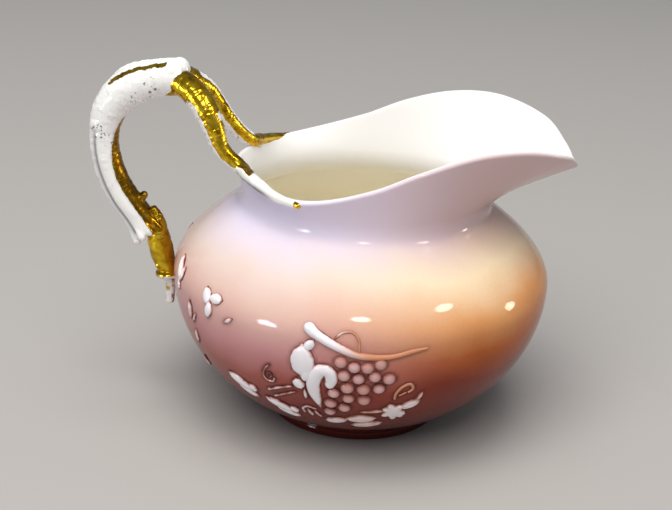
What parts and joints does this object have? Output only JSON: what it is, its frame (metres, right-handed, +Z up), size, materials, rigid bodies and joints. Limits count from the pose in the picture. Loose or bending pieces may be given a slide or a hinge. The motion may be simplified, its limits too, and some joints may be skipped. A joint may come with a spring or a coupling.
{
  "type": "cream jug",
  "caption": "Squat porcelain cream jug with a wide pouring spout, a forked branch handle and grape vine relief on both sides.",
  "frame": {"origin": "middle of the foot ring's flat face, where the jug stands on the table", "axes": "+Z up, +X towards the spout, -Y towards the front side; the handle is at -X"},
  "size_m": [0.139, 0.113, 0.1043],
  "materials": {
    "ground_glaze": "glossy glaze over an airbrushed ground, white at the neck, cream on the shoulder, salmon to maroon below",
    "white_glaze": "glossy white glaze with worn gilding in the bark lines",
    "gilding": "burnished liquid gold fired on the glaze",
    "leaf_relief": "thick white enamel, glossy",
    "grape_relief": "thin white enamel over the salmon ground, glossy"
  },
  "bodies": {
    "root": {"jug_body": "ground_glaze", "handle_stem": "white_glaze", "handle_tail": "gilding", "fork_front": "gilding", "fork_back": "gilding", "branch_front": "leaf_relief", "branch_back": "leaf_relief", "grapes_front": "grape_relief", "grapes_back": "grape_relief", "large_leaf_front": "leaf_relief", "large_leaf_back": "leaf_relief", "curled_leaf_front": "leaf_relief", "curled_leaf_back": "leaf_relief", "small_leaves_front": "leaf_relief", "small_leaves_back": "leaf_relief", "cluster_leaves_front": "leaf_relief", "cluster_leaves_back": "leaf_relief", "star_leaf_front": "leaf_relief", "star_leaf_back": "leaf_relief", "left_leaves_front": "leaf_relief", "left_leaves_back": "leaf_relief", "trefoil_front": "leaf_relief", "trefoil_back": "leaf_relief", "handle_sprig_front": "leaf_relief", "handle_sprig_back": "leaf_relief", "tendrils_front": "leaf_relief", "tendrils_back": "leaf_relief"}
  },
  "joints": []
}
